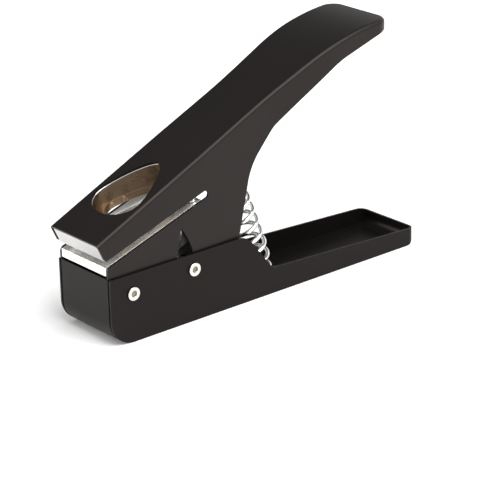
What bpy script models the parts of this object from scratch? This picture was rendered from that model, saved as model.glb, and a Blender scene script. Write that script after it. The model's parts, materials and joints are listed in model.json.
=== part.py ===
"""Guitar pick punch: a desk lever punch, built from its separate pieces.

Metres, +Z up. +X runs from the mouth to the tail, -Y is the near side.
The origin is under the middle of the whole machine, on the desk.
In the outlines x is measured from the base's front face and z from the desk.
"""
import math

import bmesh
import bpy
import numpy as np
from mathutils import Vector

object_name = "pick_punch"

# Sheet and clearances
base_wall = 0.001
lever_wall = 0.001
running_gap = 0.0003
overrun = 0.002
weld_distance = 0.000001

# Base tub
base_length = 0.180
base_width = 0.037
box_height = 0.0315
box_length = 0.0712
shoulder_radius = 0.0095
shoulder_slope = math.radians(52)
tray_front_height = 0.0122
tray_rear_height = 0.0082
tray_front_x = 0.0965
foot_radius = 0.006
toe_radius = 0.012
heel_radius = 0.004
tail_corner_radius = 0.004

# Lever top and plan
lever_overhang = 0.0048
lever_front_height = 0.0483
lever_angle = math.radians(24.9)
lever_straight = 0.132
lever_arc_radius = 0.120
lever_reach = 0.1628
lever_edge_radius = 0.0015
jaw_half_width = 0.0172
waist_half_width = 0.0168
palm_half_width = 0.0197
jaw_end_x = 0.050
waist_x = 0.085
palm_x = 0.138
palm_corner_radius = 0.0075
press_angle = math.radians(24)

# Lever cheeks, seen from the side; a depth is measured down from the lever's top
cheek_heel_x = 0.0715
cheek_knee_x = 0.0804
cheek_knee_depth = 0.0249
arm_root_x = 0.094
arm_root_depth = 0.0158
palm_root_x = 0.132
palm_root_depth = 0.0092
palm_skirt_depth = 0.0050
knee_radius = 0.030
arm_root_radius = 0.014
palm_root_radius = 0.040
floor_clearance = 0.0006
lobe_clearance = 0.0015
jaw_corner_radius = 0.0025

# Notch in the cheeks for the punch rivet; ahead means towards the mouth from that rivet
notch_clearance = 0.0003
notch_top_rise = 0.0218
notch_mouth_ahead = 0.008
notch_foot_ahead = 0.010
notch_foot_drop = 0.0059

# Slot for the sheet, seen from the side
slot_angle = math.radians(18.4)
slot_front_height = 0.0367
slot_height = 0.0035
slot_length = 0.0592

# Cross pins
pivot_x = 0.0119
pivot_height = 0.0226
punch_pin_x = 0.0455
punch_pin_height = 0.0244
rivet_radius = 0.00175
rivet_head_radius = 0.0031
rivet_head_height = 0.0008
rivet_bore_radius = 0.0012
rivet_bore_depth = 0.005
rivet_lip = 0.0005
roller_radius = 0.003

# Pick, die and guide plate
pick_length = 0.0304
pick_width = 0.0256
pick_middle = 0.0347
pick_widest_share = 0.31
flank_power = 1.3
tip_power = 0.62
die_land = 0.0033
die_relief = 0.0004
die_half_width = 0.0158
die_edge_radius = 0.0012
die_rear = 0.0555
guide_thickness = 0.0043
guide_half_width = 0.0158
window_start = 0.0161
window_length = 0.0356
window_width = 0.0286

# Clamp screws and spacer rings behind the pick
screw_radius = 0.0013
screw_head_radius = 0.0023
screw_head_height = 0.0016
screw_grip = 0.004
spacer_radius = 0.0024
spacer_along = 0.0528
spacer_across = 0.0118

# Punch carrier and its screws
carrier_half_width = 0.009
carrier_front = 0.0272
carrier_rear = 0.0508
carrier_rim = 0.0028
roller_play = 0.0006
punch_screw_radius = 0.0011
punch_screw_head_radius = 0.0019
punch_screw_head_height = 0.0014
punch_screw_web = 0.0018
punch_screw_grip = 0.005
punch_screw_ahead = 0.0042
punch_screw_behind = 0.0123

# Return spring and its seats
spring_radius = 0.0071
spring_wire = 0.0018
spring_coils = 14
spring_foot_x = 0.0956
spring_head_x = 0.0676
spring_foot_pull = 0.008
spring_head_pull = 0.030
end_coil_gap = 0.0006
seat_radius = 0.0085
seat_thickness = 0.001
seat_boss_radius = 0.0055
seat_boss_height = 0.0035

# Mesh fineness
arc_steps = 8
round_steps = 28
edge_steps = 3
plan_steps = 15
curl_points = 10
axis_steps = 400
pick_front_steps = 7
pick_flank_steps = 11

front_x = (lever_overhang - base_length) / 2
across = (math.radians(90), 0, 0)
square_to_slot = (0, -slot_angle, 0)


def clear_scene():
    for item in list(bpy.data.objects):
        bpy.data.objects.remove(item, do_unlink=True)


def new_collection(name):
    group = bpy.data.collections.new(name)
    bpy.context.scene.collection.children.link(group)
    return group


def new_material(name, color, roughness, metallic):
    material = bpy.data.materials.new(name)
    material.use_nodes = True
    shader = material.node_tree.nodes["Principled BSDF"]
    shader.inputs["Base Color"].default_value = (*color, 1)
    shader.inputs["Roughness"].default_value = roughness
    shader.inputs["Metallic"].default_value = metallic
    return material


clear_scene()
parts = new_collection(object_name)
cutters = new_collection("cutters")
black = new_material("black_powder_coat", (0.012, 0.012, 0.013), 0.42, 0.0)
chrome = new_material("polished_steel", (0.75, 0.74, 0.71), 0.12, 1.0)
steel = new_material("tool_steel", (0.55, 0.54, 0.52), 0.28, 1.0)
rivet_steel = new_material("nickel_rivet", (0.70, 0.69, 0.66), 0.22, 1.0)
spring_steel = new_material("spring_wire", (0.72, 0.72, 0.72), 0.18, 1.0)
seat_plastic = new_material("black_plastic", (0.02, 0.02, 0.02), 0.5, 0.0)


# Helpers
def link(item, group, material=None):
    for owner in list(item.users_collection):
        owner.objects.unlink(item)
    group.objects.link(item)
    if material:
        item.data.materials.clear()
        item.data.materials.append(material)
    return item


def hide(cutter):
    """A cutter only shapes other pieces."""
    link(cutter, cutters)
    cutter.hide_render = True
    cutter.display_type = "WIRE"
    return cutter


def smooth(item, angle=math.radians(35)):
    item.data.shade_smooth()
    item.data.set_sharp_from_angle(angle=angle)
    return item


def baked(item):
    """Turn a curve, or a mesh with modifiers, into a plain mesh under the same name."""
    bpy.context.view_layer.update()
    graph = bpy.context.evaluated_depsgraph_get()
    mesh = bpy.data.meshes.new_from_object(item.evaluated_get(graph))
    name = item.name
    matrix = item.matrix_world.copy()
    bpy.data.objects.remove(item, do_unlink=True)
    shape = bmesh.new()
    shape.from_mesh(mesh)
    bmesh.ops.remove_doubles(shape, verts=shape.verts, dist=weld_distance)
    bmesh.ops.recalc_face_normals(shape, faces=shape.faces)
    shape.to_mesh(mesh)
    shape.free()
    solid = bpy.data.objects.new(name, mesh)
    solid.matrix_world = matrix
    parts.objects.link(solid)
    return solid


def flat_prism(name, outline, half_depth):
    """A solid from an outline in its own XY plane, filled on both sides."""
    curve = bpy.data.curves.new(name, "CURVE")
    curve.dimensions = "2D"
    curve.fill_mode = "BOTH"
    curve.extrude = half_depth
    line = curve.splines.new("POLY")
    line.points.add(len(outline) - 1)
    for point, (x, y) in zip(line.points, outline):
        point.co = (x, y, 0, 1)
    line.use_cyclic_u = True
    item = bpy.data.objects.new(name, curve)
    parts.objects.link(item)
    return item


def side_prism(name, outline, half_depth, origin=(0.0, 0.0)):
    """A solid from a side outline of (x, z) points, with its own origin at a given point."""
    local = [(x - origin[0], z - origin[1]) for x, z in outline]
    item = flat_prism(name, local, half_depth)
    item.rotation_euler = across
    item.location = at(origin)
    return baked(item)


def plan_prism(name, outline, low, high):
    """A solid from a plan outline of (x, y) points, between two heights."""
    item = flat_prism(name, outline, (high - low) / 2)
    item.location = (front_x, 0, (high + low) / 2)
    return baked(item)


def combine(item, other, operation):
    step = item.modifiers.new(operation.lower(), "BOOLEAN")
    step.operation = operation
    step.solver = "EXACT"
    step.object = hide(other)


def cut(item, *tools):
    for tool in tools:
        combine(item, tool, "DIFFERENCE")


def turned(name, profile, place, turn=(0.0, 0.0, 0.0), closed=False):
    """A round piece from (radius, height) points running down its outer side."""
    mesh = bpy.data.meshes.new(name)
    edges = [(i, i + 1) for i in range(len(profile) - 1)]
    if closed:
        edges.append((len(profile) - 1, 0))
    mesh.from_pydata([(radius, 0, height) for radius, height in profile], edges, [])
    item = bpy.data.objects.new(name, mesh)
    parts.objects.link(item)
    item.location = place
    item.rotation_euler = turn
    spin = item.modifiers.new("turn", "SCREW")
    spin.axis = "Z"
    spin.angle = math.tau
    spin.steps = round_steps
    spin.render_steps = round_steps
    spin.use_merge_vertices = True
    spin.merge_threshold = weld_distance
    return smooth(baked(item))


def bar(name, place, turn, radius, length):
    """A round cutter."""
    bpy.ops.mesh.primitive_cylinder_add(vertices=round_steps, radius=radius, depth=length)
    item = bpy.context.object
    item.name = name
    item.rotation_euler = turn
    item.location = place
    return item


def cross_bar(name, pin, radius):
    """A round cutter right across the machine."""
    return bar(name, at(pin), across, radius, base_width + 2 * overrun)


def slot_bar(name, s, y, radius, low, high):
    """A round cutter square to the slot, between two rises over the slot's floor."""
    return bar(name, at(along_slot(s, (low + high) / 2), y), square_to_slot, radius, high - low)


def arc(center, radius, start, end, steps=arc_steps):
    """Points on an arc, angles in radians, both ends included."""
    angles = np.linspace(start, end, steps + 1)
    return [(center[0] + radius * math.cos(a), center[1] + radius * math.sin(a)) for a in angles]


def fillet(before, corner, after, radius):
    """An arc in place of a corner, tangent to both of its sides."""
    middle = Vector(corner)
    back = (Vector(before) - middle).normalized()
    ahead = (Vector(after) - middle).normalized()
    half = back.angle(ahead) / 2
    center = middle + (back + ahead).normalized() * (radius / math.sin(half))
    reach = radius / math.tan(half)
    start = middle + back * reach - center
    turn = (middle + ahead * reach - center).angle_signed(start)
    first = math.atan2(start.y, start.x)
    return arc(center, radius, first, first + turn)


def at(point, y=0.0):
    """World place of a side-view point (x, z)."""
    return Vector((front_x + point[0], y, point[1]))


def along_slot(s, rise):
    """(x, z) of a point s along the slot's floor from the mouth, and rise above it."""
    cos, sin = math.cos(slot_angle), math.sin(slot_angle)
    return (s * cos - rise * sin, slot_front_height + s * sin + rise * cos)


def along_lever(u, drop):
    """(x, z) of a point u along the lever's straight top from its front, and drop below it."""
    cos, sin = math.cos(lever_angle), math.sin(lever_angle)
    return (u * cos + drop * sin - lever_overhang, lever_front_height + u * sin - drop * cos)


pivot = (pivot_x, pivot_height)
punch_pin = (punch_pin_x, punch_pin_height)
pin_distance = math.hypot(punch_pin_x - pivot_x, punch_pin_height - pivot_height)


# Base tub
def toe_and_heel(inset):
    """The tub's underside, from the front round to the rear."""
    toe = arc((toe_radius, toe_radius), toe_radius - inset, math.pi, 1.5 * math.pi)
    heel_center = (base_length - heel_radius, heel_radius)
    return toe + arc(heel_center, heel_radius - inset, 1.5 * math.pi, math.tau)


def tub_outline():
    """Side outline: the box, its rounded shoulder, the bend at its foot, and the sloping tray."""
    shoulder_center = (box_length, box_height - shoulder_radius)
    shoulder = arc(shoulder_center, shoulder_radius, math.pi / 2 - shoulder_slope, math.pi / 2)
    rim_fall = math.atan2(tray_front_height - tray_rear_height, base_length - tray_front_x)
    bend_height = tray_front_height + foot_radius * math.cos(rim_fall)
    bend_x = shoulder[0][0] + (shoulder[0][1] - bend_height) / math.tan(shoulder_slope)
    bend_x += foot_radius / math.sin(shoulder_slope)
    bend_ends = (1.5 * math.pi - rim_fall, 1.5 * math.pi - shoulder_slope)
    bend = arc((bend_x, bend_height), foot_radius, *bend_ends)
    return toe_and_heel(0.0) + [(base_length, tray_rear_height)] + bend + shoulder + [(0, box_height)]


def hollow_outline():
    """Side outline of the tub's inside, open above."""
    top = box_height + overrun
    return toe_and_heel(base_wall) + [(base_length - base_wall, top), (base_wall, top)]


def tub_plan(inset):
    half = base_width / 2 - inset
    radius = tail_corner_radius - inset
    rear = base_length - inset
    near = arc((rear - radius, radius - half), radius, -math.pi / 2, 0)
    far = arc((rear - radius, half - radius), radius, 0, math.pi / 2)
    return [(inset, -half)] + near + far + [(inset, half)]


def make_base():
    tub = side_prism("base_tub", tub_outline(), base_width)
    combine(tub, plan_prism("tub_plan", tub_plan(0.0), -overrun, box_height + overrun), "INTERSECT")
    hollow = side_prism("tub_hollow", hollow_outline(), base_width)
    inner = plan_prism("hollow_plan", tub_plan(base_wall), -overrun, box_height + 2 * overrun)
    combine(hollow, inner, "INTERSECT")
    cut(tub, hollow)
    cut(tub, cross_bar("tub_hole_pivot", pivot, rivet_radius + running_gap))
    cut(tub, cross_bar("tub_hole_punch", punch_pin, rivet_radius + running_gap))
    return link(smooth(tub), parts, black)


# Cross pins
def make_rivet(name, pin):
    """A tubular rivet across both base walls, with rolled rims and hollow ends."""
    half = base_width / 2 + running_gap
    end = half + rivet_head_height
    half_profile = [
        (0.0, end - rivet_bore_depth),
        (rivet_bore_radius, end - rivet_bore_depth),
        (rivet_bore_radius, end - rivet_lip),
        (rivet_bore_radius + rivet_lip, end),
        (rivet_head_radius - rivet_lip, end),
        (rivet_head_radius, end - rivet_lip),
        (rivet_head_radius, half),
        (rivet_radius, half),
    ]
    mirrored = [(radius, -height) for radius, height in reversed(half_profile)]
    rivet = turned(name, half_profile + mirrored, at(pin), across)
    return link(rivet, parts, rivet_steel)


def make_sleeve(name, pin, low, high):
    """A tube round a cross pin, between two places across the machine."""
    inner = rivet_radius + running_gap
    profile = [(roller_radius, -low), (roller_radius, -high), (inner, -high), (inner, -low)]
    sleeve = turned(name, profile, at(pin), across, closed=True)
    return link(sleeve, parts, steel)


def make_sleeves():
    inside = jaw_half_width - lever_wall - running_gap
    beside = carrier_half_width + running_gap
    make_sleeve("pivot_sleeve", pivot, -inside, inside)
    make_sleeve("punch_roller", punch_pin, -carrier_half_width, carrier_half_width)
    make_sleeve("pin_spacer_near", punch_pin, -inside, -beside)
    make_sleeve("pin_spacer_far", punch_pin, beside, inside)


# Lever shell
def ease(value, start, end):
    """A smooth step from 0 at start to 1 at end."""
    share = min(1.0, max(0.0, (value - start) / (end - start)))
    return share * share * (3 - 2 * share)


def lever_half_width(x):
    jaw_to_waist = ease(x, jaw_end_x, waist_x)
    waist_to_palm = ease(x, waist_x, palm_x)
    width = jaw_half_width + (waist_half_width - jaw_half_width) * jaw_to_waist
    return width + (palm_half_width - waist_half_width) * waist_to_palm


def lever_plan(inset):
    """Plan of the lever: the jaw, the waist, and the palm rest with its rounded end."""
    start = -lever_overhang - overrun - inset
    rear = lever_reach - inset
    radius = palm_corner_radius - inset
    half = lever_half_width(lever_reach) - inset
    stations = np.linspace(jaw_end_x, rear - radius, plan_steps)
    side = [(x, lever_half_width(x) - inset) for x in stations[:-1]]
    corner = arc((rear - radius, half - radius), radius, math.pi / 2, 0)
    far = [(start, jaw_half_width - inset)] + side + corner
    return [(x, -y) for x, y in far] + list(reversed(far))


def tail_arc_center():
    bend = along_lever(lever_straight, 0)
    center_x = bend[0] + lever_arc_radius * math.sin(lever_angle)
    return center_x, bend[1] - lever_arc_radius * math.cos(lever_angle)


def lever_top(inset):
    """Side line of the lever's top, front to tail: straight, then a long easy arc."""
    center = tail_arc_center()
    last = math.asin((center[0] - lever_reach - overrun) / lever_arc_radius)
    ends = (math.pi / 2 + lever_angle, math.pi / 2 + last)
    return [along_lever(-2 * inset, inset)] + arc(center, lever_arc_radius - inset, *ends)


def lever_top_height(x):
    """Height of the lever's top over a place along the machine."""
    straight = along_lever(0, 0)
    rise = (x - straight[0]) * math.tan(lever_angle)
    center = tail_arc_center()
    if x < along_lever(lever_straight, 0)[0]:
        return straight[1] + rise
    return center[1] + math.sqrt(lever_arc_radius ** 2 - (center[0] - x) ** 2)


def floor_line(x):
    """Height at which a cheek point lands on the floor of the tub at the full press."""
    lowest = base_wall + floor_clearance - pivot_height
    return pivot_height + (lowest + (x - pivot_x) * math.sin(press_angle)) / math.cos(press_angle)


def cheek_underside():
    """From the tail forward: the palm's skirt, the arm, and the cheek's rear edge to the floor line."""
    tail_x = lever_reach + overrun
    tail = (tail_x, lever_top_height(tail_x) - palm_skirt_depth)
    palm_root = (palm_root_x, lever_top_height(palm_root_x) - palm_root_depth)
    arm_root = (arm_root_x, lever_top_height(arm_root_x) - arm_root_depth)
    knee = (cheek_knee_x, lever_top_height(cheek_knee_x) - cheek_knee_depth)
    heel = (cheek_heel_x, floor_line(cheek_heel_x))
    line = [tail]
    line += fillet(tail, palm_root, arm_root, palm_root_radius)
    line += fillet(palm_root, arm_root, knee, arm_root_radius)
    line += fillet(arm_root, knee, heel, knee_radius)
    return line + [heel]


def notch_outline():
    """The notch that clears the punch rivet: an arc about the pivot, and a leaning front edge."""
    radius = pin_distance + rivet_radius + notch_clearance
    top = math.asin(notch_top_rise / radius)
    low = math.asin((floor_line(punch_pin_x) - pivot_height) / radius)
    mouth = (punch_pin_x - notch_mouth_ahead, box_height)
    foot = (punch_pin_x - notch_foot_ahead, punch_pin_height - notch_foot_drop)
    return arc(pivot, radius, low, top) + [mouth, foot]


def jaw_outline():
    """The jaw from the round lobe under the pivot to the front corner of the lever's top."""
    lobe_radius = pivot_x - base_wall - lobe_clearance
    lip = box_height + running_gap
    slot_top = slot_front_height + slot_height
    lobe = arc(pivot, lobe_radius, 1.5 * math.pi, math.pi)
    mouth = [(pivot_x - lobe_radius, lip), (0.0, lip), (0.0, slot_top)]
    return lobe + mouth + [along_lever(0, lever_front_height - slot_top), along_lever(0, 0)]


def round_top_edges(item, radius):
    """Round the edges where the lever's top turns down, as the sheet bends there."""
    shape = bmesh.new()
    shape.from_mesh(item.data)
    turn = item.matrix_world.to_3x3()
    edges = []
    for edge in shape.edges:
        normals = [turn @ face.normal for face in edge.link_faces]
        lower, upper = sorted(normal.z for normal in normals)
        at_front = any(normal.x < -0.8 for normal in normals)
        if upper > 0.7 and abs(lower) < 0.2 and not at_front:
            edges.append(edge)
    bmesh.ops.bevel(shape, geom=edges, offset=radius, segments=edge_steps, profile=0.5, affect="EDGES")
    shape.to_mesh(item.data)
    shape.free()
    return item


def lever_body(name, outline, inset, ceiling):
    """The space inside one side outline and one plan, with the top's edges rounded."""
    body = side_prism(name, outline, base_width, pivot)
    low = -overrun * (2 if inset else 1)
    combine(body, plan_prism(name + "_plan", lever_plan(inset), low, ceiling), "INTERSECT")
    return round_top_edges(baked(body), lever_edge_radius - inset)


def make_lever():
    ceiling = lever_front_height + lever_reach
    outline = lever_top(0.0) + cheek_underside() + notch_outline() + jaw_outline()
    shell = lever_body("lever_shell", outline, 0.0, ceiling)
    top = lever_top(lever_wall)
    front = -2 * lever_overhang
    inside = top + [(lever_reach + overrun, -overrun), (front, -overrun), (front, top[0][1])]
    cut(shell, lever_body("lever_hollow", inside, lever_wall, ceiling))
    cut(shell, slot_cutter(), window_cutter())
    cut(shell, cross_bar("lever_hole", pivot, rivet_radius + running_gap))
    return link(smooth(shell), parts, black)


def slot_cutter():
    """The sheet's slot through both cheeks: a rounded lower lip, straight sides and a round end."""
    front = -2 * lever_overhang
    lip_drop = jaw_corner_radius * math.tan(math.pi / 4 - slot_angle / 2)
    lip_center = (jaw_corner_radius, slot_front_height - lip_drop)
    lip = arc(lip_center, jaw_corner_radius, math.pi, math.pi / 2 + slot_angle)
    radius = slot_height / 2
    tip = arc((slot_length - radius, radius), radius, -math.pi / 2, math.pi / 2)
    outline = [(front, lip_center[1])] + lip + [along_slot(s, rise) for s, rise in tip]
    outline.append(along_slot(front, slot_height))
    return side_prism("slot_cutter", outline, base_width)


# Pick shape, die, guide plate and clamps
def pick_outline(length, width):
    """A rounded pick: an elliptic wide end, full flanks and a round tip, wide end first."""
    widest = length * pick_widest_share
    half = width / 2
    side = []
    for a in np.linspace(0, math.pi / 2, pick_front_steps + 1):
        side.append((widest * (1 - math.cos(a)), half * math.sin(a)))
    for b in np.linspace(0, math.pi / 2, pick_flank_steps + 1)[1:]:
        v = math.sin(b)
        y = half * max(1 - v ** flank_power, 0.0) ** tip_power
        side.append((widest + (length - widest) * v, y))
    return side + [(x, -y) for x, y in reversed(side[1:-1])]


def pick_prism(name, grow, low, high):
    """A pick-shaped bar square to the slot, between two rises over the slot's floor."""
    length = pick_length + 2 * grow
    outline = [(x - length / 2, y) for x, y in pick_outline(length, pick_width + 2 * grow)]
    item = flat_prism(name, outline, (high - low) / 2)
    item.location = at(along_slot(pick_middle, (low + high) / 2))
    item.rotation_euler = square_to_slot
    return baked(item)


def window_cutter():
    """The pick-shaped window in the lever's top."""
    item = flat_prism("window_cutter", pick_outline(window_length, window_width), 2 * lever_wall)
    item.location = at(along_lever(window_start, lever_wall / 2))
    item.rotation_euler = (0, -lever_angle, 0)
    return baked(item)


def front_line_over_slot(rise):
    """Where the lever's front line meets a line over the slot's floor."""
    start = along_lever(running_gap, 0)
    height = (start[1] - slot_front_height) * math.cos(slot_angle) - start[0] * math.sin(slot_angle)
    return along_lever(running_gap, (height - rise) / math.cos(lever_angle - slot_angle))


def lever_top_over(point, drop):
    """The point straight up the slot's normal from a point, drop below the lever's top."""
    start = along_lever(0, drop)
    below = (point[0] - start[0]) * math.sin(lever_angle) - (point[1] - start[1]) * math.cos(lever_angle)
    length = below / math.cos(lever_angle - slot_angle)
    return (point[0] - length * math.sin(slot_angle), point[1] + length * math.cos(slot_angle))


def make_die():
    """The upper die: a wedge under the lever's top, with a cutting land and a relief above it."""
    top = lever_wall + running_gap
    low_rear = along_slot(die_rear, slot_height)
    outline = [along_lever(running_gap, top), front_line_over_slot(slot_height)]
    outline += [low_rear, lever_top_over(low_rear, top)]
    die = round_top_edges(side_prism("upper_die", outline, die_half_width, pivot), die_edge_radius)
    land = slot_height + die_land
    ceiling = slot_height + lever_front_height
    cut(die, pick_prism("die_land_cutter", running_gap, slot_height - overrun, land + overrun))
    cut(die, pick_prism("die_relief_cutter", running_gap + die_relief, land, ceiling))
    for side in (-1, 1):
        y = side * spacer_across
        ends = (slot_height - overrun, slot_height + screw_grip)
        cut(die, slot_bar("die_thread_cutter", spacer_along, y, screw_radius + running_gap, *ends))
    return link(smooth(die), parts, chrome)


def make_guide():
    """The lower plate, which carries the sheet and guides the punch."""
    corners = [(0.0, 0.0), (die_rear, 0.0), (die_rear, -guide_thickness), (0.0, -guide_thickness)]
    outline = [along_slot(s, rise) for s, rise in corners]
    guide = side_prism("lower_guide_plate", outline, guide_half_width, pivot)
    ends = (-guide_thickness - overrun, overrun)
    cut(guide, pick_prism("guide_cutter", running_gap, *ends))
    for side in (-1, 1):
        y = side * spacer_across
        cut(guide, slot_bar("guide_hole_cutter", spacer_along, y, screw_radius + running_gap, *ends))
    return link(smooth(guide), parts, chrome)


def make_screw(name, s, y, radius, head_radius, head_height, seat, tip):
    """A screw square to the slot, from its head's seat up to its tip."""
    low = seat - head_height
    bolt = [(0.0, tip), (radius, tip), (radius, seat), (head_radius, seat), (head_radius, low), (0.0, low)]
    screw = turned(name, bolt, at(along_slot(s, 0), y), square_to_slot)
    return link(screw, parts, steel)


def make_clamps():
    """Rings that hold the slot open behind the pick, and the screws through them."""
    made = []
    inner = screw_radius + running_gap
    low, high = running_gap, slot_height - running_gap
    ring = [(spacer_radius, high), (spacer_radius, low), (inner, low), (inner, high)]
    tip = slot_height + screw_grip - running_gap
    seat = -guide_thickness - running_gap
    head = (screw_radius, screw_head_radius, screw_head_height)
    for side, word in ((-1, "near"), (1, "far")):
        y = side * spacer_across
        place = at(along_slot(spacer_along, 0), y)
        spacer = turned("die_spacer_" + word, ring, place, square_to_slot, closed=True)
        made.append(link(spacer, parts, chrome))
        made.append(make_screw("die_screw_" + word, spacer_along, y, *head, seat, tip))
    return made


# Punch and carrier
def punch_stroke():
    """Travel of the punch through the die at the full press, and its sway along the slot."""
    rest = math.atan2(punch_pin_height - pivot_height, punch_pin_x - pivot_x)
    dx = pin_distance * (math.cos(rest + press_angle) - math.cos(rest))
    dz = pin_distance * (math.sin(rest + press_angle) - math.sin(rest))
    cos, sin = math.cos(slot_angle), math.sin(slot_angle)
    return dz * cos - dx * sin, dx * cos + dz * sin


def punch_pin_on_slot():
    """How far the punch pin lies along the slot's floor, and how far below it."""
    cos, sin = math.cos(slot_angle), math.sin(slot_angle)
    x, z = punch_pin_x, punch_pin_height - slot_front_height
    return x * cos + z * sin, x * sin - z * cos


def make_carrier(top):
    """The block under the punch, with a slotted hole for the roller on the punch rivet."""
    sway = punch_stroke()[1]
    pin_s, pin_drop = punch_pin_on_slot()
    hole = roller_radius + running_gap
    rim = hole + carrier_rim
    low = -pin_drop - rim
    corners = [
        (carrier_front, top),
        (carrier_front, (low + top) / 2),
        (pin_s - rim, low),
        (pin_s + rim, low),
        (carrier_rear, top),
    ]
    outline = [along_slot(s, rise) for s, rise in corners]
    carrier = side_prism("punch_carrier", outline, carrier_half_width, punch_pin)
    middle = pin_s + sway / 2
    reach = sway / 2 + roller_play
    ends = arc((middle + reach, -pin_drop), hole, -math.pi / 2, math.pi / 2)
    ends += arc((middle - reach, -pin_drop), hole, math.pi / 2, 1.5 * math.pi)
    window = [along_slot(s, rise) for s, rise in ends]
    cut(carrier, side_prism("carrier_slot_cutter", window, base_width, punch_pin))
    return carrier, low


def make_punch():
    """The pick-shaped punch, its carrier, and the two screws that join them from below."""
    foot = -guide_thickness - punch_stroke()[0] - 2 * running_gap
    top = foot - running_gap
    punch = pick_prism("punch", 0.0, foot, -running_gap)
    carrier, low = make_carrier(top)
    made = [punch, carrier]
    seat = top - punch_screw_web
    tip = foot + punch_screw_grip
    hole = punch_screw_radius + running_gap
    pocket = punch_screw_head_radius + running_gap
    head = (punch_screw_radius, punch_screw_head_radius, punch_screw_head_height)
    for word, s in (("front", pick_middle - punch_screw_ahead), ("rear", pick_middle + punch_screw_behind)):
        cut(punch, slot_bar("punch_thread_cutter", s, 0.0, hole, foot - overrun, tip + running_gap))
        cut(carrier, slot_bar("carrier_hole_cutter", s, 0.0, hole, seat - overrun, top + overrun))
        cut(carrier, slot_bar("carrier_pocket_cutter", s, 0.0, pocket, low - overrun, seat))
        made.append(make_screw("punch_screw_" + word, s, 0.0, *head, seat - running_gap, tip))
    link(smooth(punch), parts, steel)
    link(smooth(carrier), parts, steel)
    return made


# Return spring and seats
def spring_axis(share):
    """Point and direction on the spring's middle line, from its foot to its head."""
    foot_z = base_wall + seat_thickness + 2 * running_gap + spring_wire / 2
    head_drop = lever_wall + seat_thickness + 2 * running_gap + spring_wire / 2
    head_z = lever_top_height(spring_head_x) - head_drop / math.cos(lever_angle)
    foot = Vector((spring_foot_x, 0, foot_z))
    head = Vector((spring_head_x, 0, head_z))
    above_foot = foot + Vector((0, 0, spring_foot_pull))
    below_head = head + Vector((math.sin(lever_angle), 0, -math.cos(lever_angle))) * spring_head_pull
    rest = 1 - share
    point = foot * rest ** 3 + above_foot * (3 * rest * rest * share)
    point += below_head * (3 * rest * share * share) + head * share ** 3
    slope = (above_foot - foot) * (rest * rest) + (below_head - above_foot) * (2 * rest * share)
    slope += (head - below_head) * (share * share)
    return point, slope.normalized()


def spring_points():
    """The wire's middle line: closed end coils, and open coils between them."""
    shares = np.linspace(0, 1, axis_steps + 1)
    axis = [spring_axis(share)[0] for share in shares]
    steps = [(axis[i + 1] - axis[i]).length for i in range(axis_steps)]
    reach = np.concatenate([[0], np.cumsum(steps)])
    end_rise = spring_wire + end_coil_gap
    turns = [0, 1, spring_coils - 1, spring_coils]
    heights = [0, end_rise, reach[-1] - end_rise, reach[-1]]
    side = Vector((0, 1, 0))
    points = []
    for turn in np.linspace(0, spring_coils, spring_coils * curl_points + 1):
        share = float(np.interp(np.interp(turn, turns, heights), reach, shares))
        point, up = spring_axis(share)
        angle = math.tau * turn
        out = side.cross(up) * math.cos(angle) + side * math.sin(angle)
        points.append(point + out * spring_radius)
    return points


def least_gap(points):
    """Least clear gap between one curl and another, over all points."""
    spots = np.array([tuple(point) for point in points])
    least = math.inf
    for i in range(len(spots) - curl_points // 2 - 2):
        far = spots[i + curl_points // 2 + 2:]
        least = min(least, float(np.linalg.norm(far - spots[i], axis=1).min()))
    return least - spring_wire


def make_spring():
    points = spring_points()
    curve = bpy.data.curves.new("return_spring", "CURVE")
    curve.dimensions = "3D"
    curve.bevel_depth = spring_wire / 2
    curve.bevel_resolution = 1
    curve.use_fill_caps = True
    line = curve.splines.new("POLY")
    line.points.add(len(points) - 1)
    for point, spot in zip(line.points, points):
        point.co = (*spot, 1)
    spring = bpy.data.objects.new("return_spring", curve)
    spring.location = (front_x, 0, 0)
    curve.materials.append(spring_steel)
    parts.objects.link(spring)
    print("spring: least gap to itself %.2f mm" % (least_gap(points) * 1000))
    return spring


def make_seats():
    """The two stepped seats that keep the spring's ends in place."""
    boss_top = seat_thickness + seat_boss_height
    profile = [
        (0.0, boss_top),
        (seat_boss_radius - seat_thickness, boss_top),
        (seat_boss_radius, seat_boss_height),
        (seat_boss_radius, seat_thickness),
        (seat_radius, seat_thickness),
        (seat_radius, 0.0),
        (0.0, 0.0),
    ]
    foot = at((spring_foot_x, base_wall + running_gap))
    lower = link(turned("spring_lower_seat", profile, foot), parts, seat_plastic)
    point, up = spring_axis(1.0)
    point += up * (running_gap + spring_wire / 2 + seat_thickness)
    tilt = (math.pi, math.asin(up.x), 0)
    upper = link(turned("spring_upper_seat", profile, at((point.x, point.z)), tilt), parts, seat_plastic)
    return lower, upper


# Joints
def new_empty(name, pin):
    empty = bpy.data.objects.new(name, None)
    empty.location = at(pin)
    parts.objects.link(empty)
    return empty


def hang_on(pieces, empty):
    """Parent pieces to an empty on their joint's axis, keeping their places."""
    bpy.context.view_layer.update()
    for piece in pieces:
        piece.parent = empty
        piece.matrix_parent_inverse = empty.matrix_world.inverted()


make_base()
make_rivet("front_pivot_rivet", pivot)
make_rivet("punch_rivet", punch_pin)
make_sleeves()
make_spring()
lower_seat, upper_seat = make_seats()
lever_pieces = [make_lever(), make_die(), make_guide(), upper_seat] + make_clamps()
punch_pieces = make_punch()
lever_axis = new_empty("lever_axis", pivot)
punch_axis = new_empty("punch_axis", punch_pin)
hang_on(lever_pieces, lever_axis)
hang_on(punch_pieces, punch_axis)
hang_on([punch_axis], lever_axis)
stroke, sway = punch_stroke()
print("punch stroke %.2f mm, sway %.2f mm, ratio %.5f m/rad" % (stroke * 1000, sway * 1000, stroke / press_angle))
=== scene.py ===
import json
import math

import bmesh
import bpy
import numpy as np
from mathutils import Matrix, Vector

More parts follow.
